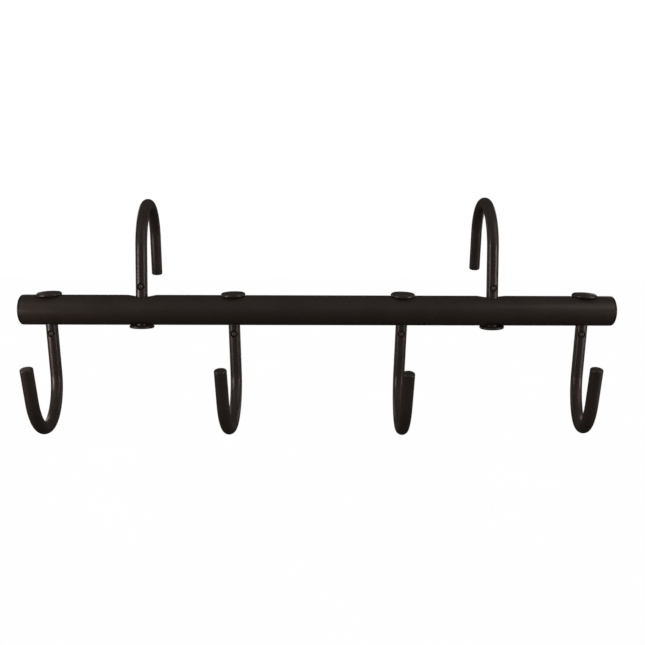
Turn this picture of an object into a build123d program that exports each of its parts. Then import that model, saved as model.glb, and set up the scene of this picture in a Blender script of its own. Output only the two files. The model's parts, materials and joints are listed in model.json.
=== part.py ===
from build123d import *
import os

# Portable tack rack: a round steel bar with four tack hooks below it, pointing to the front,
# and two hanger hooks above it, pointing to the back, where they go over a wall or a rail.
# X runs along the bar, +Y is the wall side, +Z is up, and the origin is the bar's centre.
# Sizes are in millimetres and angles in degrees.

# ---------------------------------------------------------------- driving dimensions
bar_diameter = 25.4
bar_length = 496.5
bar_wall = 1.5
bar_end_rounding = 0.6

rod_diameter = 9.8
rod_clearance = 0.1  # between a shank and the edge of its hole, all round

# All six hooks are bent over the same former.
bend_radius = 36.4  # of the rod's centre line
tack_stations = (-226.2, -72.4, 70.4, 225.2)
tack_shank = 54.5  # bar axis to the start of the bend
tack_bend = 168.4
tack_tip = 28.1
hanger_stations = (-149.7, 147.1)
hanger_shank = 53.0
hanger_bend = 166.8
hanger_tip = 35.7
tip_rounding = 1.1

# How each hook stands: (swivel, toe_in, lean_back).
# swivel turns it anticlockwise, seen from above, from square to the bar.
# toe_in tips its far end towards the middle of the bar, and lean_back towards the wall.
tack_stances = ((3.5, 2.2, -0.3), (-3.2, 1.4, 0.2), (-2.4, 1.3, 2.1), (-10.8, 1.7, 0.0))
hanger_stances = ((1.8, 0.8, 2.7), (-2.0, 2.0, -1.7))

# Each head is (seat, rim, crown, shoulder): bar axis to its underside, height of its side,
# rise of its dome, and rounding between its side and its dome.
tack_head = (11.8, 2.9, 1.0, 2.2)  # sunk in a seat in the top of the bar
hanger_head = (13.1, 2.0, 0.9, 1.2)  # against the underside of the bar
head_radius = 10.4
head_under_rounding = 0.7

# The top of the bar is pressed in around every hook: flat under a tack hook's head, and
# to a round dish where a hanger hook's shank comes out.
seat_floor = 11.75  # bar axis to the flat
seat_radius = 10.6
dish_floor = 10.3  # bar axis to the lowest point of the dish
dish_radius = 22.0

pin_station = 19.8  # bar axis to a retaining pin
pin_diameter = 4.0
pin_clearance = 0.02
pin_length = 9.9
pin_end_rounding = 1.2
pin_recess_radius = 3.0
pin_recess_depth = 2.0

plug_flange = 1.5
plug_flange_radius = 12.6
plug_crown = 0.6
plug_rounding = 1.1
plug_depth = 9.0
plug_wall = 1.6
plug_barrel_radius = 10.7
plug_rib_radius = 11.15
plug_rib_width = 1.0
plug_rib_depths = (2.5, 4.8, 7.1)

# ---------------------------------------------------------------- worked out
bar_radius = bar_diameter / 2
rod_radius = rod_diameter / 2
ABOVE = 1
BELOW = -1


def hook_plane(station, side, stance):
    """Plane that a hook is bent in: local y runs out along its shank, local x to its mouth."""
    swivel, toe_in, lean_back = stance
    towards_middle = -1 if station > 0 else 1
    outward = Vector(0, 0, side)
    outward = outward.rotate(Axis.X, -side * lean_back)
    outward = outward.rotate(Axis.Y, side * towards_middle * toe_in)
    mouth = outward.cross(Vector(1, 0, 0)).rotate(Axis((0, 0, 0), outward), side * swivel)
    return Plane(origin=(station, 0, 0), x_dir=mouth, z_dir=mouth.cross(outward))


def make_hook(plane, head, shank, bend_angle, tip):
    """One swivel hook: a bent rod with a forged button head and a cross hole for its pin."""
    seat, rim_height, crown_rise, shoulder_rounding = head
    with BuildPart() as hook:
        with BuildLine(plane) as centre_line:
            straight = Line((0, -seat - rim_height / 2), (0, shank))
            bend = JernArc(straight @ 1, straight % 1, bend_radius, -bend_angle)
            Line(bend @ 1, bend @ 1 + tip * (bend % 1))
        with BuildSketch(Plane(origin=straight @ 0, z_dir=straight % 0)):
            Circle(rod_radius)
        sweep()
        tip_face = faces().sort_by_distance(centre_line.line @ 1)[0]
        fillet(tip_face.edges(), tip_rounding)

        with BuildSketch(plane):
            with BuildLine():
                underside = Line((0, -seat), (head_radius, -seat))
                rim = Line(underside @ 1, (head_radius, -seat - rim_height))
                crown = TangentArc((0, -seat - rim_height - crown_rise), rim @ 1, tangent=(1, 0))
                Line(crown @ 0, underside @ 0)
            make_face()
            fillet(vertices().sort_by_distance(rim @ 1)[0], shoulder_rounding)
            fillet(vertices().sort_by_distance(underside @ 1)[0], head_under_rounding)
        revolve(axis=Axis(plane.origin, plane.y_dir))

        for facing in (1, -1):
            recess = plane.from_local_coords((facing * rod_radius, pin_station, 0))
            with Locations(Plane(origin=recess, z_dir=facing * plane.x_dir)):
                CounterBoreHole(
                    radius=pin_diameter / 2 + pin_clearance,
                    counter_bore_radius=pin_recess_radius,
                    counter_bore_depth=pin_recess_depth,
                    depth=rod_radius,
                )
    return hook.part


def make_pin(plane):
    """One retaining pin, driven through the shank in the plane of the hook."""
    centre = plane.from_local_coords((0, pin_station, 0))
    with BuildPart() as pin:
        with BuildSketch(Plane(origin=centre, z_dir=plane.x_dir)):
            Circle(pin_diameter / 2)
        extrude(amount=pin_length / 2, both=True)
        fillet(edges().filter_by(GeomType.CIRCLE), pin_end_rounding)
    return pin.part


def make_plug(end):
    """One end plug: a domed flange over the bar's rim, and a hollow ribbed barrel in its bore."""
    rim_plane = Plane(origin=(end * bar_length / 2, 0, 0), z_dir=(end, 0, 0))
    profile_plane = Plane(origin=rim_plane.origin, x_dir=(end, 0, 0), z_dir=(0, -end, 0))
    with BuildPart() as plug:
        with BuildSketch(profile_plane):
            with BuildLine():
                shoulder = Line((0, 0), (0, plug_flange_radius))
                rim = Line(shoulder @ 1, (plug_flange, plug_flange_radius))
                crown = TangentArc((plug_flange + plug_crown, 0), rim @ 1, tangent=(0, 1))
                Line(crown @ 0, shoulder @ 0)
            make_face()
            fillet(vertices().sort_by_distance(rim @ 1)[0], plug_rounding)
        revolve(axis=Axis.X)
        with BuildSketch(rim_plane):
            Circle(plug_barrel_radius)
        extrude(amount=-plug_depth)
        for depth in plug_rib_depths:
            with BuildSketch(rim_plane.offset(-depth)):
                Circle(plug_rib_radius)
            extrude(amount=plug_rib_width / 2, both=True)
        with BuildSketch(rim_plane):
            Circle(plug_barrel_radius - plug_wall)
        extrude(amount=-plug_depth, mode=Mode.SUBTRACT)
    return plug.part


def keep(part, label):
    """Name a finished piece and write it to its own file."""
    part.label = label
    export_step(part, f"parts/{label}.step")


# ---------------------------------------------------------------- where each hook goes
names_left_to_right = ("left_outer_tack", "left_inner_tack", "right_inner_tack", "right_outer_tack")
tack_planes = {
    name: hook_plane(station, BELOW, stance)
    for name, station, stance in zip(names_left_to_right, tack_stations, tack_stances)
}
hanger_planes = {
    name: hook_plane(station, ABOVE, stance)
    for name, station, stance in zip(("left_hanger", "right_hanger"), hanger_stations, hanger_stances)
}
dish_centres = [
    plane.from_local_coords((0, dish_floor + dish_radius, 0)) for plane in hanger_planes.values()
]


def cut_seats(growth):
    """Cut the flat seats into the current part, each grown all round by a thickness."""
    for plane in tack_planes.values():
        floor = plane.from_local_coords((0, growth - seat_floor, 0))
        with BuildSketch(Plane(origin=floor, z_dir=-plane.y_dir)) as seat:
            Circle(seat_radius + growth)
        extrude(seat.sketch, amount=bar_radius, mode=Mode.SUBTRACT)


# ---------------------------------------------------------------- bar
with BuildPart() as bore:
    with BuildSketch(Plane.YZ):
        Circle(bar_radius - bar_wall)
    extrude(amount=bar_length / 2, both=True)
    with Locations(dish_centres):
        Sphere(dish_radius + bar_wall, mode=Mode.SUBTRACT)
    cut_seats(growth=bar_wall)

with BuildPart() as bar_tube:
    with BuildSketch(Plane.YZ):
        Circle(bar_radius)
    extrude(amount=bar_length / 2, both=True)
    fillet(edges().filter_by(GeomType.CIRCLE), bar_end_rounding)
    with Locations(dish_centres):
        Sphere(dish_radius, mode=Mode.SUBTRACT)
    cut_seats(growth=0)
    add(bore.part, mode=Mode.SUBTRACT)
    for plane in (*tack_planes.values(), *hanger_planes.values()):
        with BuildSketch(Plane(origin=plane.origin, z_dir=plane.y_dir)):
            Circle(rod_radius + rod_clearance)
        extrude(amount=bar_diameter, both=True, mode=Mode.SUBTRACT)

# ---------------------------------------------------------------- write every piece
os.makedirs("parts", exist_ok=True)
keep(bar_tube.part, "bar_tube")
keep(make_plug(-1), "left_end_plug")
keep(make_plug(1), "right_end_plug")
for name, plane in tack_planes.items():
    keep(make_hook(plane, tack_head, tack_shank, tack_bend, tack_tip), f"{name}_hook")
    keep(make_pin(plane), f"{name}_pin")
for name, plane in hanger_planes.items():
    keep(make_hook(plane, hanger_head, hanger_shank, hanger_bend, hanger_tip), f"{name}_hook")
    keep(make_pin(plane), f"{name}_pin")
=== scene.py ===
import json
import math
from functools import partial

import bmesh
import bpy
import numpy as np
from mathutils import Matrix, Vector


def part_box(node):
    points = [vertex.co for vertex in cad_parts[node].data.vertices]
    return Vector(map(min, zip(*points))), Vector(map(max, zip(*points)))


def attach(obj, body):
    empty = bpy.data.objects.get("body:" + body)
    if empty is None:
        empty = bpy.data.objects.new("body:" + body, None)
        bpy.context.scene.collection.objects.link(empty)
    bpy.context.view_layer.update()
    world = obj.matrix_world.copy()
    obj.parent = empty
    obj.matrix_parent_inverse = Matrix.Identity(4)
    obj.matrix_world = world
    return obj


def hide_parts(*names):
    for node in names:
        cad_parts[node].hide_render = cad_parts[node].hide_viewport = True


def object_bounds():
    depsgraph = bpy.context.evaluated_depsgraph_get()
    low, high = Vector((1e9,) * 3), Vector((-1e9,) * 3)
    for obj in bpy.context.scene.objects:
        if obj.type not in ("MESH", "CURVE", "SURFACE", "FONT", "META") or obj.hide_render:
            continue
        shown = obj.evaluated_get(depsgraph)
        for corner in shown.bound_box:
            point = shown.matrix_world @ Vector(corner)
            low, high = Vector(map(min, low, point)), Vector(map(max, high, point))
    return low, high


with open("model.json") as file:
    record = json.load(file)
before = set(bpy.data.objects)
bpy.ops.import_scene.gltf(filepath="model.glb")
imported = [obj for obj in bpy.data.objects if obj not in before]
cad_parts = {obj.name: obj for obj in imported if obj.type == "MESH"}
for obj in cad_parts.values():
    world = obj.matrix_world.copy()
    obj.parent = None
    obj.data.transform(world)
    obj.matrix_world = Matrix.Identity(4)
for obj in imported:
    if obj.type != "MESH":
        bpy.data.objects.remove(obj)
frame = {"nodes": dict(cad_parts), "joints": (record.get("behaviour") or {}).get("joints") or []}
cad_low, cad_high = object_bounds()

# The looks of a portable tack rack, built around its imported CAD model. Metres, X along the bar,
# +Y the wall side, +Z up. Places come from the frame: the bar from its node's box, and each
# hook's line from its swivel joint. The sizes below are the CAD model's, but for seat_radius,
# pin_end_rounding, and the small roundings and marks that the CAD leaves out.
mm = 0.001

bar_wall = 1.5 * mm
bar_end_rounding = 0.6 * mm
rod_radius = 4.9 * mm
hole_radius = 5.0 * mm
hole_edge_rounding = 0.35 * mm

bend_radius = 36.4 * mm
tip_rounding = 1.1 * mm
head_radius = 10.4 * mm
head_under_rounding = 0.7 * mm
head_root_rounding = 0.4 * mm

# The top of the bar is pressed in: flat under a tack head, to a dish around a hanger's shank.
seat_floor = 11.75 * mm
seat_radius = 10.8 * mm  # 0.2 mm over the CAD's, so that the bar's skin clears the tack heads
seat_edge = 0.4 * mm  # how softly a seat runs out into the bar
dish_floor = 10.3 * mm
dish_radius = 22.0 * mm
dish_edge = 1.6 * mm

pin_station = 19.8 * mm
pin_radius = 2.0 * mm
pin_half_length = 4.95 * mm
pin_end_rounding = 1.14 * mm  # 0.06 mm under the CAD's
pin_hole_radius = 2.02 * mm
pin_recess_radius = 3.0 * mm
pin_recess_floor = rod_radius - 2.0 * mm
pin_recess_rounding = 0.2 * mm
pin_recess_draft = 0.05 * mm
pin_recess_land = 0.3 * mm  # flat strip of its floor, next to its wall
pin_hole_chamfer = 0.1 * mm
punch_mark = ((0.25 * mm, 0.0), (0.20 * mm, 0.25 * mm), (0.02 * mm, 0.55 * mm))  # (depth, radius)
punch_radius = 0.6 * mm

plug_flange = 1.5 * mm
plug_flange_radius = 12.6 * mm
plug_crown = 0.6 * mm
plug_rounding = 1.1 * mm
plug_depth = 9.0 * mm
plug_wall = 1.6 * mm
plug_barrel_radius = 10.7 * mm
plug_rib_height = 0.45 * mm
plug_rib_width = 1.0 * mm
plug_rib_depths = (2.5 * mm, 4.8 * mm, 7.1 * mm)
plug_rib_rounding = 0.2 * mm
plug_foot_rounding = 0.4 * mm
plug_lip_rounding = 0.3 * mm
plug_floor_rounding = 0.5 * mm
plug_corner_rounding = 0.15 * mm
gate_mark = ((0.3 * mm, 0.0), (0.3 * mm, 1.0 * mm), (0.1 * mm, 1.3 * mm))  # (depth, radius)

# Tack hooks hang below the bar, and hanger hooks stand above it. From the bar's axis, seat is the
# distance to a head's underside, and shank the distance to the start of the bend.
KINDS = {
    "tack": {
        "side": -1, "seat": 11.8 * mm, "rim": 2.9 * mm, "crown": 1.0 * mm, "shoulder": 2.2 * mm,
        "shank": 54.5 * mm, "bend": math.radians(168.4), "tip": 28.1 * mm,
    },
    "hanger": {
        "side": 1, "seat": 13.1 * mm, "rim": 2.0 * mm, "crown": 0.9 * mm, "shoulder": 1.2 * mm,
        "shank": 53.0 * mm, "bend": math.radians(166.8), "tip": 35.7 * mm,
    },
}

bar_low, bar_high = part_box("bar_tube")
bar_radius = (bar_high.y - bar_low.y) / 2
bar_half_length = (bar_high.x - bar_low.x) / 2

UP = np.array((0.0, 0.0, 1.0))
WALL_SIDE = np.array((0.0, 1.0, 0.0))


# ---------------------------------------------------------------- closed shells of points and faces
FLAT_FACE_WEIGHT = 80  # 50 is neutral, and more lets large faces count for more in the normals


class Shell:
    """Points and faces of one closed piece, collected before they become a mesh."""

    def __init__(self):
        self.points = []
        self.faces = []

    def loop(self, points):
        """Add a ring of points and return their indices."""
        first = len(self.points)
        self.points.extend(map(tuple, points))
        return list(range(first, len(self.points)))

    def bridge(self, ring, other, skip=()):
        """Join two rings of equal length with quads, but for the columns in skip."""
        count = len(ring)
        for k in range(count):
            if k not in skip:
                after = (k + 1) % count
                self.faces.append((ring[k], ring[after], other[after], other[k]))

    def cap(self, ring, point):
        """Close a ring with a fan of triangles around one point."""
        centre = self.loop([point])[0]
        for k in range(len(ring)):
            self.faces.append((ring[k], ring[(k + 1) % len(ring)], centre))

    def bridge_all(self, rings):
        """Join each ring to the one after it."""
        for ring, following in zip(rings, rings[1:]):
            self.bridge(ring, following)

    def turn(self, outline, ring_at):
        """Add a ring for each (distance, radius) of an outline, and close each end that lies on the
        axis. ring_at gives a ring's points from its distance along the axis and its radius."""
        rings = [self.loop(ring_at(*spot)) for spot in outline if spot[1] > 0]
        for ring, spot in ((rings[0], outline[0]), (rings[-1], outline[-1])):
            if spot[1] == 0:
                self.cap(ring, ring_at(*spot)[0])
        return rings

    def piece(self, name, body, node, material):
        """Make the object, in place of its CAD node, with every face turned outwards."""
        mesh = bpy.data.meshes.new(name)
        mesh.from_pydata(self.points, [], self.faces)
        soup = bmesh.new()
        soup.from_mesh(mesh)
        bmesh.ops.recalc_face_normals(soup, faces=soup.faces)
        soup.to_mesh(mesh)
        soup.free()
        mesh.shade_smooth()
        mesh.materials.append(material)
        made = bpy.data.objects.new(name, mesh)
        bpy.context.scene.collection.objects.link(made)
        weigh = made.modifiers.new("even_normals", "WEIGHTED_NORMAL")
        weigh.weight = FLAT_FACE_WEIGHT
        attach(made, body)
        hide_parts(node)
        return made


def rounded(corners, steps=5):
    """Outline through (x, y, radius) corners, each of them an arc if it has a radius."""
    outline = []
    for k, (x, y, radius) in enumerate(corners):
        here = np.array((x, y))
        if radius == 0:
            outline.append(here)
            continue
        before = np.array(corners[k - 1][:2]) - here
        after = np.array(corners[k + 1][:2]) - here
        before /= np.linalg.norm(before)
        after /= np.linalg.norm(after)
        half = math.acos(float(np.clip(before @ after, -1, 1))) / 2
        reach = radius / math.tan(half)
        middle = here + (before + after) / np.linalg.norm(before + after) * radius / math.sin(half)
        start = here + before * reach - middle
        end = here + after * reach - middle
        sweep = math.pi - 2 * half
        for step in range(steps + 1):
            share = step / steps
            arc = start * math.sin((1 - share) * sweep) + end * math.sin(share * sweep)
            outline.append(middle + arc / math.sin(sweep))
    return outline


def domed(rise, radius, edge, steps):
    """Shallow dome from its middle to short of its rounded edge, as (drop from the top, radius)."""
    shares = [(radius - edge) / radius * step / steps for step in range(steps + 1)]
    return [(rise * share**2, radius * share) for share in shares]


def quarter_round(steps):
    """Shares of a quarter round's radius that it has fallen, and still has to run, at each step."""
    angles = [math.pi / 2 * step / steps for step in range(1, steps + 1)]
    return [(1 - math.cos(angle), 1 - math.sin(angle)) for angle in angles]


def circle(centre, across, along, radius, count):
    """A ring of points in the plane of two unit vectors."""
    turn = np.arange(count) * (2 * math.pi / count)
    return centre + radius * (np.outer(np.cos(turn), across) + np.outer(np.sin(turn), along))


def bar_circle(end, out, radius, count):
    """A ring around the bar's line, a distance out from one of its ends."""
    return circle(np.array((end * (bar_half_length + out), 0.0, 0.0)), UP, WALL_SIDE, radius, count)


# ---------------------------------------------------------------- materials
class Nodes:
    """A short way to write a node material."""

    def __init__(self, name):
        self.material = bpy.data.materials.new(name)
        self.material.use_nodes = True
        self.tree = self.material.node_tree
        self.shader = self.tree.nodes["Principled BSDF"]
        self.place = self.tree.nodes.new("ShaderNodeTexCoord").outputs["Object"]

    def noise(self, scale, detail=2.0, roughness=0.5):
        node = self.tree.nodes.new("ShaderNodeTexNoise")
        node.inputs["Scale"].default_value = scale
        node.inputs["Detail"].default_value = detail
        node.inputs["Roughness"].default_value = roughness
        self.tree.links.new(self.place, node.inputs["Vector"])
        return node.outputs["Fac"]

    def between(self, value, low, high, out_low=0.0, out_high=1.0):
        node = self.tree.nodes.new("ShaderNodeMapRange")
        self.tree.links.new(value, node.inputs["Value"])
        limits = {"From Min": low, "From Max": high, "To Min": out_low, "To Max": out_high}
        for key, number in limits.items():
            node.inputs[key].default_value = number
        return node.outputs["Result"]

    def product(self, first, second):
        node = self.tree.nodes.new("ShaderNodeMath")
        node.operation = "MULTIPLY"
        self.tree.links.new(first, node.inputs[0])
        self.tree.links.new(second, node.inputs[1])
        return node.outputs[0]

    def mix(self, share, first, second):
        node = self.tree.nodes.new("ShaderNodeMix")
        node.data_type = "RGBA"
        self.tree.links.new(share, node.inputs["Factor"])
        for key, colour in (("A", first), ("B", second)):
            socket = next(s for s in node.inputs if s.name == key and s.type == "RGBA")
            if isinstance(colour, tuple):
                socket.default_value = (*colour, 1.0)
            else:
                self.tree.links.new(colour, socket)
        return next(s for s in node.outputs if s.type == "RGBA")

    def bump(self, height, depth, strength, under=None):
        node = self.tree.nodes.new("ShaderNodeBump")
        node.inputs["Distance"].default_value = depth
        node.inputs["Strength"].default_value = strength
        self.tree.links.new(height, node.inputs["Height"])
        if under is not None:
            self.tree.links.new(under, node.inputs["Normal"])
        return node.outputs["Normal"]

    def edges(self, low, high):
        geometry = self.tree.nodes.new("ShaderNodeNewGeometry")
        return self.between(geometry.outputs["Pointiness"], low, high)

    def set(self, name, value):
        socket = self.shader.inputs[name]
        if isinstance(value, (int, float, tuple)):
            socket.default_value = (*value, 1.0) if isinstance(value, tuple) else value
        else:
            self.tree.links.new(value, socket)


# Noise scales count features per metre, so the finest grain below is a few tenths of a millimetre.
def powder_coat(name, deep, light, rub):
    """Satin brown-black powder coat: soft orange peel, fine grain, uneven colour and rubbed edges."""
    nodes = Nodes(name)
    cloudy = nodes.between(nodes.noise(45.0, detail=4.0, roughness=0.6), 0.35, 0.65)
    speckle = nodes.between(nodes.noise(2600.0), 0.56, 0.72, 0.0, 0.5)
    patchy = nodes.between(nodes.noise(300.0, detail=3.0), 0.35, 0.7)
    satin = nodes.between(nodes.noise(160.0, detail=4.0, roughness=0.65), 0.3, 0.7, 0.28, 0.38)
    colour = nodes.mix(cloudy, deep, light)
    colour = nodes.mix(speckle, colour, rub)
    colour = nodes.mix(nodes.product(nodes.edges(0.52, 0.60), patchy), colour, rub)
    nodes.set("Base Color", colour)
    nodes.set("Roughness", satin)
    nodes.set("Specular IOR Level", 0.5)
    peel = nodes.bump(nodes.noise(650.0, detail=1.0), 0.05 * mm, 0.35)
    grain = nodes.noise(3200.0, detail=3.0, roughness=0.7)
    nodes.set("Normal", nodes.bump(grain, 0.02 * mm, 0.5, under=peel))
    return nodes.material


def moulded_plastic(name, deep, light):
    """Black moulded plastic with a fine spark-eroded grain and uneven gloss."""
    nodes = Nodes(name)
    cloudy = nodes.between(nodes.noise(90.0, detail=3.0), 0.35, 0.65)
    gloss = nodes.between(nodes.noise(240.0, detail=4.0, roughness=0.7), 0.3, 0.7, 0.32, 0.5)
    nodes.set("Base Color", nodes.mix(cloudy, deep, light))
    nodes.set("Roughness", gloss)
    nodes.set("Normal", nodes.bump(nodes.noise(4200.0), 0.02 * mm, 0.6))
    return nodes.material


COATS = {
    "bar_powder_coat": powder_coat(
        "bar_coat", (0.0222, 0.0164, 0.0130), (0.0270, 0.0199, 0.0158), (0.060, 0.046, 0.037)
    ),
    "hook_powder_coat": powder_coat(
        "hook_coat", (0.0238, 0.0180, 0.0147), (0.0294, 0.0222, 0.0181), (0.066, 0.051, 0.042)
    ),
    # The pins wear the same brown powder coat as the hooks, painted about twice as light: a painted
    # highlight on the pin ends, partly standing in for the light they catch.
    "pin_powder_coat": powder_coat(
        "pin_coat_with_painted_highlight", (0.0420, 0.0330, 0.0275), (0.0540, 0.0425, 0.0355), (0.090, 0.072, 0.060)
    ),
    "plug_plastic": moulded_plastic("plug_plastic", (0.0030, 0.0029, 0.0029), (0.0050, 0.0047, 0.0046)),
}


# ---------------------------------------------------------------- where each hook stands
ROD_COLUMNS = 48


def long_axis(node):
    """Direction in which the points of a CAD node spread the most."""
    points = np.array([vertex.co for vertex in frame["nodes"][node].data.vertices])
    spread = points - points.mean(0)
    return np.linalg.eigh(spread.T @ spread)[1][:, -1]


class Hook:
    """A hook's line and plane: outward runs along its shank, and mouth towards its tip."""

    def __init__(self, joint):
        self.body = joint["child"]
        self.sizes = KINDS[self.body.split("_")[-1]]
        self.origin = np.array(joint["pos_m"])
        self.up = np.array(joint["axis"]) / np.linalg.norm(joint["axis"])
        self.outward = self.up * self.sizes["side"]
        line = long_axis(self.body + "_pin")
        line -= (line @ self.outward) * self.outward
        line /= np.linalg.norm(line)
        low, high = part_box(self.body + "_hook")
        towards_tip = (np.array(low) + np.array(high)) / 2 - self.origin
        self.mouth = line if line @ towards_tip > 0 else -line
        self.across = np.cross(self.mouth, self.outward)

    def pressed_in(self, points, inset):
        """How deep points are in the hollow pressed into the bar's top, and how soft its edge is."""
        from_origin = points - self.origin
        height = from_origin @ self.up
        if self.sizes["side"] > 0:
            from_centre = from_origin - self.up * (dish_floor + dish_radius)
            return dish_radius + inset - np.linalg.norm(from_centre, axis=1), dish_edge
        reach = np.linalg.norm(from_origin - np.outer(height, self.up), axis=1)
        return np.minimum(seat_radius + inset - reach, height - seat_floor + inset), seat_edge

    def at(self, towards_mouth, out):
        return self.origin + towards_mouth * self.mouth + out * self.outward

    def ring(self, out, radius):
        """Ring around the hook's line, a distance out from the bar's axis."""
        return circle(self.at(0, out), self.mouth, self.across, radius, ROD_COLUMNS)

    def bent_ring(self, angle, further=0.0, radius=rod_radius):
        """Ring of the rod at an angle round its bend, or further along, straight on from there."""
        towards = self.mouth * math.cos(angle) - self.outward * math.sin(angle)
        heading = self.mouth * math.sin(angle) + self.outward * math.cos(angle)
        bend_centre = self.at(bend_radius, self.sizes["shank"])
        centre = bend_centre - bend_radius * towards + further * heading
        return circle(centre, towards, self.across, radius, ROD_COLUMNS)


hooks = [Hook(joint) for joint in frame["joints"]]


# ---------------------------------------------------------------- openings in a skin of rings
def block_border(rows, columns):
    """Grid places around the border of a block of cells, once round."""
    first, last = rows
    left, right = columns
    border = [(row, left) for row in range(first, last)]
    border += [(last, column) for column in range(left, right)]
    border += [(row, right) for row in range(last, first, -1)]
    border += [(first, column) for column in range(right, left, -1)]
    return border


def funnel(shell, border, flat, radius, levels, lift):
    """Fill the skin between a square border and a round edge. flat holds the border's places in
    the opening's own plane, and lift turns such places into points on the skin. The round edge's
    directions come back with its ring, for the rings that follow it into the opening."""
    directions = flat / np.linalg.norm(flat, axis=1)[:, None]
    ring = border
    for level in range(1, levels + 1):
        share = level / levels
        inner = shell.loop(lift(flat * (1 - share) + directions * radius * share))
        shell.bridge(ring, inner)
        ring = inner
    return ring, directions


# ---------------------------------------------------------------- bar
BAR_COLUMNS = 96
BAR_BLOCK = 8 * mm  # half the length of a block of skin that is rebuilt around a hole
BAR_BLOCK_COLUMNS = 10  # half its width, in columns
FINE_REACH = 15 * mm
FINE_STEP = 0.5 * mm
COARSE_STEP = 5 * mm
HALVINGS = 26  # of a search, enough for a thousandth of a micrometre
SKIN_SEARCH = (-4 * mm, 0.5 * mm)  # from the round tube's skin, past its deepest hollow
HOLE_SEARCH = (4 * mm, bar_radius + 1 * mm)  # out along a hook's line
FUNNEL_LEVELS = 5
HOLE_EDGE_STEPS = 3
BAR_END_STEPS = 5


def soft_maximum(first, second, softness):
    """The larger of two values, eased where they lie closer together than the softness."""
    overlap = np.maximum(softness - np.abs(first - second), 0) / softness
    return np.maximum(first, second) + overlap * overlap * softness / 4


def bar_depth(points, inset):
    """Signed distance outside the dished bar, or outside its inner wall when inset is the wall."""
    depth = np.hypot(points[:, 1], points[:, 2]) - (bar_radius - inset)
    for hook in hooks:
        hollow, edge = hook.pressed_in(points, inset)
        depth = soft_maximum(depth, hollow, edge)
    return depth


def onto_bar(start, direction, search, inset):
    """Slide each start point along its direction, between two distances, to the bar's skin."""
    low, high = (np.full(len(start), distance) for distance in search)
    for _ in range(HALVINGS):
        middle = (low + high) / 2
        outside = bar_depth(start + direction * middle[:, None], inset) > 0
        high = np.where(outside, middle, high)
        low = np.where(outside, low, middle)
    return start + direction * ((low + high) / 2)[:, None]


def bar_stations():
    """Places of the bar's rings: close together around the hooks, and further apart between them."""
    half = bar_half_length - bar_end_rounding
    stations = {round(x, 6) for x in np.linspace(-half, half, round(2 * half / COARSE_STEP) + 1)}
    centres = [round(hook.origin[0], 6) for hook in hooks]
    stations = {x for x in stations if all(abs(x - c) > FINE_REACH + FINE_STEP for c in centres)}
    for centre in centres:
        count = round(FINE_REACH / FINE_STEP)
        stations |= {round(centre + k * FINE_STEP, 6) for k in range(-count, count + 1)}
    return sorted(x for x in stations if abs(x) <= half)


def bar_skin(shell, inset, stations, blocks):
    """One skin of the bar. Returns its rings along the bar, and the ring at the edge of each hole."""
    outward = circle(np.zeros(3), UP, WALL_SIDE, 1.0, BAR_COLUMNS)
    search = [bar_radius - inset + distance for distance in SKIN_SEARCH]
    rows = []
    for station in stations:
        start = np.tile((station, 0.0, 0.0), (BAR_COLUMNS, 1))
        rows.append(shell.loop(onto_bar(start, outward, search, inset)))
    skip = {}
    for rows_span, columns_span, _, _ in blocks:
        for row in range(*rows_span):
            skip.setdefault(row, set()).update(c % BAR_COLUMNS for c in range(*columns_span))
    for row in range(len(rows) - 1):
        shell.bridge(rows[row], rows[row + 1], skip.get(row, ()))

    edges = []
    for rows_span, columns_span, hook, direction in blocks:
        along = np.cross(hook.across, direction)
        border = [rows[r][c % BAR_COLUMNS] for r, c in block_border(rows_span, columns_span)]
        places = np.array([shell.points[k] for k in border]) - hook.origin
        flat = np.stack([places @ hook.across, places @ along], 1)

        def lift(spots, hook=hook, along=along, direction=direction):
            start = hook.origin + np.outer(spots[:, 0], hook.across) + np.outer(spots[:, 1], along)
            return onto_bar(start, direction[None, :], HOLE_SEARCH, inset)

        edge = hole_radius + hole_edge_rounding
        ring, directions = funnel(shell, border, flat, edge, FUNNEL_LEVELS, lift)
        inward = direction if inset else -direction
        for fallen, to_run in quarter_round(HOLE_EDGE_STEPS):
            reach = hole_radius + hole_edge_rounding * to_run
            lower = shell.loop(lift(directions * reach) + inward * hole_edge_rounding * fallen)
            shell.bridge(ring, lower)
            ring = lower
        edges.append(ring)
    return rows, edges


def hole_blocks(stations):
    """Blocks of skin around the two holes of every hook: (rows, columns, hook, direction)."""
    blocks = []
    for hook in hooks:
        ends = (hook.origin[0] - BAR_BLOCK, hook.origin[0] + BAR_BLOCK)
        rows = [int(np.argmin(np.abs(np.array(stations) - x))) for x in ends]
        for middle, direction in ((0, hook.up), (BAR_COLUMNS // 2, -hook.up)):
            columns = (middle - BAR_BLOCK_COLUMNS, middle + BAR_BLOCK_COLUMNS)
            blocks.append((rows, columns, hook, direction))
    return blocks


def make_bar():
    """The tube: an outer and an inner skin, joined at every hole and at both ends."""
    shell = Shell()
    stations = bar_stations()
    blocks = hole_blocks(stations)
    outer_rows, outer_edges = bar_skin(shell, 0.0, stations, blocks)
    inner_rows, inner_edges = bar_skin(shell, bar_wall, stations, blocks)
    for outer, inner in zip(outer_edges, inner_edges):
        shell.bridge(outer, inner)
    for end, outer, inner in ((-1, outer_rows[0], inner_rows[0]), (1, outer_rows[-1], inner_rows[-1])):
        rings = [outer]
        for fallen, to_run in quarter_round(BAR_END_STEPS):
            radius = bar_radius - bar_end_rounding * fallen
            rings.append(shell.loop(bar_circle(end, -bar_end_rounding * to_run, radius, BAR_COLUMNS)))
        rings.append(shell.loop(bar_circle(end, 0.0, bar_radius - bar_wall, BAR_COLUMNS)))
        rings.append(inner)
        shell.bridge_all(rings)
    return shell.piece("bar", "bar", "bar_tube", COATS["bar_powder_coat"])


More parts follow.
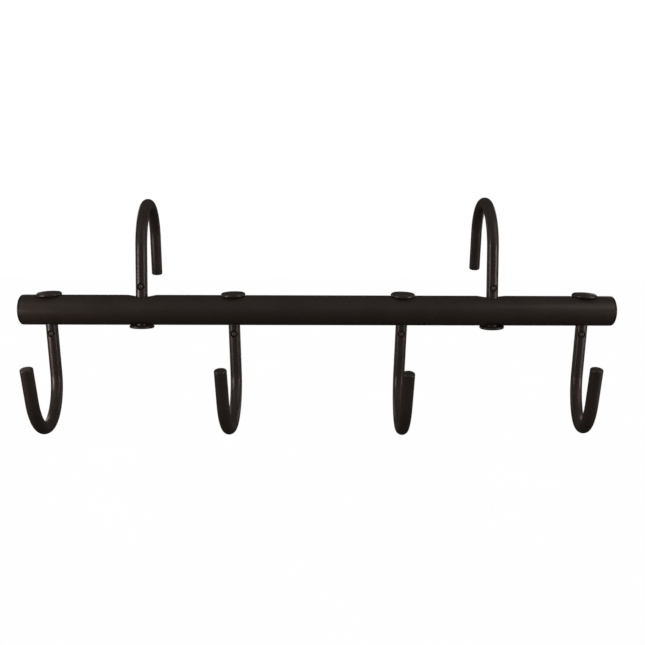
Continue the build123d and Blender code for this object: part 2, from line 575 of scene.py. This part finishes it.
# ---------------------------------------------------------------- hooks
HEAD_ROOT = 2 * mm  # from a head's underside to the first plain ring of its shank
TIP_REACH = 3 * mm  # from a tip's last plain ring to its end
TIP_FLAT = 0.3  # radius of the innermost ring of a tip's flat end, as a share of the rod's
DOME_STEPS = 7
SHANK_STEPS = (8, 9)  # from the head to the pin, and from the pin to the bend
TIP_STEPS = 6
BEND_STEP = math.radians(3.0)
PIN_BLOCK = 4 * mm  # half the length of the block of skin that is rebuilt around a pin
PIN_BLOCK_ROWS = 8
PIN_BLOCK_COLUMNS = 7  # half its width, in columns
RECESS_LEVELS = 3


def head_outline(sizes):
    """Head and root of the shank, as (distance out from the bar's axis, radius) points."""
    rim_top = -sizes["seat"] - sizes["rim"]
    top = rim_top - sizes["crown"]
    dome = domed(sizes["crown"], head_radius, sizes["shoulder"], DOME_STEPS)
    outline = [(top + drop, radius) for drop, radius in dome]
    outline += rounded([
        (*outline[-1], 0),
        (rim_top, head_radius, sizes["shoulder"]),
        (-sizes["seat"], head_radius, head_under_rounding),
        (-sizes["seat"], rod_radius, head_root_rounding),
        (-sizes["seat"] + HEAD_ROOT, rod_radius, 0),
    ])[1:]
    return outline


def shank_stations(sizes):
    """Places of the shank's rings after its root, and the span of them that the pin's block takes."""
    stops = (-sizes["seat"] + HEAD_ROOT, pin_station - PIN_BLOCK, pin_station + PIN_BLOCK, sizes["shank"])
    steps = (SHANK_STEPS[0], PIN_BLOCK_ROWS, SHANK_STEPS[1])
    places = []
    for start, end, count in zip(stops, stops[1:], steps):
        places += list(np.linspace(start, end, count + 1))[1:]
    return places, (steps[0] - 1, steps[0] - 1 + PIN_BLOCK_ROWS)


def tip_outline(length):
    """Straight end of the rod, as (distance on from its bend, radius) points."""
    plain = np.linspace(0, length - TIP_REACH, TIP_STEPS + 1)
    outline = [(distance, rod_radius) for distance in plain[1:]]
    outline += rounded([
        (length - TIP_REACH, rod_radius, 0),
        (length, rod_radius, tip_rounding),
        (length, rod_radius * TIP_FLAT, 0),
        (length, 0.0, 0),
    ])[1:]
    return outline


def make_hook(hook):
    """One bent rod with its button head, and a hole with a recess at each end for its pin."""
    sizes = hook.sizes
    shell = Shell()
    rings = shell.turn(head_outline(sizes), hook.ring)
    places, block = shank_stations(sizes)
    first_row, last_row = (len(rings) + row for row in block)
    rings += [shell.loop(hook.ring(out, rod_radius)) for out in places]
    steps = round(sizes["bend"] / BEND_STEP)
    angles = [sizes["bend"] * step / steps for step in range(1, steps + 1)]
    rings += [shell.loop(hook.bent_ring(angle)) for angle in angles]
    rings += shell.turn(tip_outline(sizes["tip"]), partial(hook.bent_ring, sizes["bend"]))

    mouth_side = (-PIN_BLOCK_COLUMNS, PIN_BLOCK_COLUMNS)
    back_side = [ROD_COLUMNS // 2 + column for column in mouth_side]
    skipped = {c % ROD_COLUMNS for span in (mouth_side, back_side) for c in range(*span)}
    for row in range(len(rings) - 1):
        inside = first_row <= row < last_row
        shell.bridge(rings[row], rings[row + 1], skipped if inside else ())

    throats = []
    for facing in (1, -1):
        border = []
        for row, column in block_border((first_row, last_row), mouth_side):
            if facing < 0:
                column = ROD_COLUMNS // 2 - column
            border.append(rings[row][column % ROD_COLUMNS])
        throats.append(pin_recess(shell, hook, border, facing))
    shell.bridge(*throats)
    material = COATS["hook_powder_coat"]
    name = hook.body + "_rod"
    return shell.piece(name, hook.body, hook.body + "_hook", material)


def pin_recess(shell, hook, border, facing):
    """Sink the round recess around one end of the pin, and return the ring at its hole."""
    centre = hook.at(0, pin_station)
    places = np.array([shell.points[k] for k in border]) - centre
    flat = np.stack([places @ hook.outward, places @ hook.across], 1)

    def point(spots, height):
        sideways = np.outer(spots[:, 0], hook.outward) + np.outer(spots[:, 1], hook.across)
        return centre + sideways + np.outer(height, facing * hook.mouth)

    def lift(spots):
        return point(spots, np.sqrt(rod_radius**2 - spots[:, 1] ** 2))

    edge = pin_recess_radius + pin_recess_rounding
    ring, directions = funnel(shell, border, flat, edge, RECESS_LEVELS, lift)
    brink = directions * pin_recess_radius
    surface = np.sqrt(rod_radius**2 - brink[:, 1] ** 2)
    level = np.ones(len(border))
    # Down the eased brink and the wall, across the floor, and over the chamfer into the hole.
    steps = [
        point(brink + directions * pin_recess_rounding * 0.3, surface - pin_recess_rounding * 0.1),
        point(brink, (surface + pin_recess_floor) / 2),
        point(directions * (pin_recess_radius - pin_recess_draft), level * pin_recess_floor),
        point(directions * (pin_recess_radius - pin_recess_land), level * pin_recess_floor),
        point(directions * (pin_hole_radius + pin_hole_chamfer), level * pin_recess_floor),
        point(directions * pin_hole_radius, level * (pin_recess_floor - pin_hole_chamfer)),
    ]
    for points in steps:
        following = shell.loop(points)
        shell.bridge(ring, following)
        ring = following
    return ring


# ---------------------------------------------------------------- pins and plugs
PIN_COLUMNS = 32
PIN_END_REACH = 3 * mm  # from a pin's end to the last ring of its plain middle
PLUG_COLUMNS = 72
PLUG_DOME_STEPS = 10


def make_pin(hook):
    """A driven pin with domed ends and a shallow punch mark in the middle of each."""
    half = [(pin_half_length - depth, radius) for depth, radius in punch_mark]
    half += rounded([
        (pin_half_length, punch_radius, 0),
        (pin_half_length, pin_radius, pin_end_rounding),
        (pin_half_length - PIN_END_REACH, pin_radius, 0),
    ], steps=7)
    outline = [(-distance, radius) for distance, radius in half] + half[::-1]

    def ring_at(distance, radius):
        centre = hook.at(distance, pin_station)
        return circle(centre, hook.across, hook.outward, radius, PIN_COLUMNS)

    shell = Shell()
    shell.bridge_all(shell.turn(outline, ring_at))
    name = hook.body + "_retaining_pin"
    return shell.piece(name, hook.body, hook.body + "_pin", COATS["pin_powder_coat"])


def plug_outline():
    """Outline of a plug, as (distance out from the bar's end, radius) points."""
    face = plug_flange + plug_crown
    outline = [(face - depth, radius) for depth, radius in gate_mark]
    dome = domed(plug_crown, plug_flange_radius, plug_rounding, PLUG_DOME_STEPS)
    outline += [(face - drop, radius) for drop, radius in dome[2:]]  # the gate mark takes its middle
    outline += rounded([
        (*outline[-1], 0),
        (plug_flange, plug_flange_radius, plug_rounding),
        (0, plug_flange_radius, plug_corner_rounding),
        (0, plug_barrel_radius, 0),
    ])[1:]
    for depth in plug_rib_depths:
        rib_radius = plug_barrel_radius + plug_rib_height
        outline += rounded([
            (-depth + plug_rib_width, plug_barrel_radius, 0),
            (-depth + plug_rib_width / 2, rib_radius, plug_rib_rounding),
            (-depth - plug_rib_width / 2, rib_radius, plug_rib_rounding),
            (-depth - plug_rib_width, plug_barrel_radius, 0),
        ], steps=2)
    outline += rounded([
        (-plug_depth + 2 * plug_foot_rounding, plug_barrel_radius, 0),
        (-plug_depth, plug_barrel_radius, plug_foot_rounding),
        (-plug_depth, plug_barrel_radius - plug_wall, plug_lip_rounding),
        (0, plug_barrel_radius - plug_wall, plug_floor_rounding),
        (0, 0.0, 0),
    ], steps=3)
    return outline


def make_plug(end, node):
    """A moulded plug: a domed flange with a faint gate mark, and a hollow barrel with ribs."""
    shell = Shell()
    ring_at = partial(bar_circle, end, count=PLUG_COLUMNS)
    shell.bridge_all(shell.turn(plug_outline(), ring_at))
    return shell.piece(node + "_cap", "bar", node, COATS["plug_plastic"])


make_bar()
make_plug(-1, "left_end_plug")
make_plug(1, "right_end_plug")
for hook in hooks:
    make_hook(hook)
    make_pin(hook)


# ---------------------------------------------------------------- studio
FLOOR_DROP = 0.45
FLOOR_SIZE = 12.0

# Light that reaches matt surfaces and mirrored light, each as a base level and soft lobes:
# (direction, cosine where the lobe begins, cosine where it is full, strength).
MATT_BASE = 0.08
MATT_LOBES = (
    ((0.0, -0.77, 0.64), -0.1, 0.9, 0.66),
    ((0.0, 0.87, 0.50), 0.1, 0.9, 0.55),
)
MIRRORED_BASE = 0.03
MIRRORED_LOBES = (
    ((0.0, -0.80, 0.60), 0.75, 0.97, 0.06),
)
WARM = (1.0, 0.82, 0.79)


def choose(tree, flag, otherwise, value):
    """Mix two strengths, each a number or a socket, by a flag that is 0 or 1."""
    node = tree.nodes.new("ShaderNodeMix")
    tree.links.new(flag, node.inputs["Factor"])
    for key, source in (("A", otherwise), ("B", value)):
        if isinstance(source, float):
            node.inputs[key].default_value = source
        else:
            tree.links.new(source, node.inputs[key])
    return node.outputs["Result"]


def by_ray(tree, seen, matt, mirrored):
    """Pick one of three strengths by the kind of ray: from the camera, mirrored, or any other."""
    path = tree.nodes.new("ShaderNodeLightPath")
    unseen = choose(tree, path.outputs["Is Glossy Ray"], matt, mirrored)
    return choose(tree, path.outputs["Is Camera Ray"], unseen, seen)


def make_floor():
    """Plain pale floor. It shows nearly white, but sends little light back up to the rack."""
    bpy.ops.mesh.primitive_plane_add(size=FLOOR_SIZE, location=(0, 0, cad_low.z - FLOOR_DROP))
    floor = bpy.context.object
    floor.name = "floor"
    nodes = Nodes("pale_floor")
    tree = nodes.tree
    white = tree.nodes.new("ShaderNodeEmission")
    tint = nodes.mix(nodes.noise(3.0, 3.0), (0.985, 0.985, 0.985), (1.0, 1.0, 1.0))
    tree.links.new(tint, white.inputs["Color"])
    tree.links.new(by_ray(tree, 1.0, MATT_BASE, MIRRORED_BASE), white.inputs["Strength"])
    tree.links.new(white.outputs["Emission"], tree.nodes["Material Output"].inputs["Surface"])
    floor.data.materials.append(nodes.material)


def lobed(tree, place, base, lobes):
    """A base level plus soft lobes around fixed directions."""
    total = base
    for direction, begins, full, strength in lobes:
        facing = tree.nodes.new("ShaderNodeVectorMath")
        facing.operation = "DOT_PRODUCT"
        tree.links.new(place, facing.inputs[0])
        facing.inputs[1].default_value = direction
        lobe = tree.nodes.new("ShaderNodeMapRange")
        lobe.interpolation_type = "SMOOTHSTEP"
        tree.links.new(facing.outputs["Value"], lobe.inputs["Value"])
        for key, number in (("From Min", begins), ("From Max", full), ("To Max", strength)):
            lobe.inputs[key].default_value = number
        added = tree.nodes.new("ShaderNodeMath")
        tree.links.new(lobe.outputs["Result"], added.inputs[0])
        if isinstance(total, float):
            added.inputs[1].default_value = total
        else:
            tree.links.new(total, added.inputs[1])
        total = added.outputs[0]
    return total


def make_surround():
    """White studio all round, to the camera. The rack gets soft light from above, front and back."""
    world = bpy.data.worlds.new("studio")
    bpy.context.scene.world = world
    world.use_nodes = True
    tree = world.node_tree
    background = tree.nodes["Background"]
    place = tree.nodes.new("ShaderNodeTexCoord").outputs["Generated"]
    matt = lobed(tree, place, MATT_BASE, MATT_LOBES)
    mirrored = lobed(tree, place, MIRRORED_BASE, MIRRORED_LOBES)
    background.inputs["Color"].default_value = (1, 1, 1, 1)
    tree.links.new(by_ray(tree, 1.0, matt, mirrored), background.inputs["Strength"])


GLOW_POWER = 4.0  # watts per square metre of soft box, for a glow of 1
NO_GRID = 90

# Upright soft boxes: (name, middle, width, height, glow, where along the bar it points, and the
# half angle in degrees that the grid in front of it lets through).
SOFT_BOXES = (
    ("left_upper", (-0.52, -0.26, -0.02), 0.17, 0.14, 8.5, 0.0, NO_GRID),
    ("left_lower", (-0.50, -0.25, -0.15), 0.12, 0.11, 1.7, -0.25, 24),
    ("right_upper", (0.70, -0.38, -0.02), 0.26, 0.16, 5.2, 0.0, NO_GRID),
    ("right_lower", (0.50, -0.25, -0.17), 0.12, 0.06, 3.8, 0.25, 24),
    ("right_wide", (0.55, -0.12, 0.0), 0.25, 0.50, 0.3, 0.0, NO_GRID),
    ("front_left", (-0.60, -0.35, 0.45), 0.50, 0.50, 0.25, 0.0, NO_GRID),
    ("front_right", (0.60, -0.35, 0.45), 0.60, 0.50, 0.60, 0.0, NO_GRID),
    ("back_left", (-0.60, 0.55, 0.05), 0.20, 0.60, 1.0, 0.0, NO_GRID),
    ("back_right", (0.60, 0.55, 0.05), 0.20, 0.60, 1.0, 0.0, NO_GRID),
)


def soft_box(name, middle, width, height, glow, aim, half_angle):
    """An upright soft light, warm and equally bright over its whole face. A grid narrows its light
    and leaves it as bright straight in front."""
    light = bpy.data.lights.new(name, "AREA")
    light.shape = "RECTANGLE"
    light.size = width
    light.size_y = height
    light.energy = GLOW_POWER * glow * width * height
    if half_angle < NO_GRID:
        half = math.radians(half_angle)
        light.spread = 2 * half
        light.energy *= 1 - half / math.tan(half)
    light.color = WARM
    box = bpy.data.objects.new(name, light)
    box.location = middle
    box.rotation_euler = Vector((aim - middle[0], -middle[1], 0)).to_track_quat("-Z", "Y").to_euler()
    box.visible_camera = False
    bpy.context.scene.collection.objects.link(box)


def make_camera():
    """The camera stands a little above the rack, and looks past it at a point just below."""
    camera_distance = 0.630
    elevation = math.radians(7.97)
    yaw = math.radians(1.24)
    look_lower = math.radians(1.5)
    roll = math.radians(0.14)
    sideways = 0.16 * mm
    camera = bpy.data.objects.new("camera", bpy.data.cameras.new("camera"))
    camera.data.sensor_width = 36.0
    camera.data.lens = 41.46
    camera.data.shift_x = 0.0053
    camera.data.shift_y = 0.0112
    camera.data.clip_start = 0.01
    view = (
        Matrix.Rotation(roll, 4, "Y")
        @ Matrix.Rotation(look_lower, 4, "X")
        @ Matrix.Translation((0, camera_distance, 0))
        @ Matrix.Rotation(yaw, 4, "Z")
        @ Matrix.Translation((sideways, 0, 0))
        @ Matrix.Rotation(elevation, 4, "X")
    )
    camera.matrix_world = view.inverted() @ Matrix.Rotation(math.pi / 2, 4, "X")
    bpy.context.scene.collection.objects.link(camera)
    bpy.context.scene.camera = camera


make_floor()
make_surround()
for box in SOFT_BOXES:
    soft_box(*box)
make_camera()
bpy.context.scene.view_settings.view_transform = "Standard"
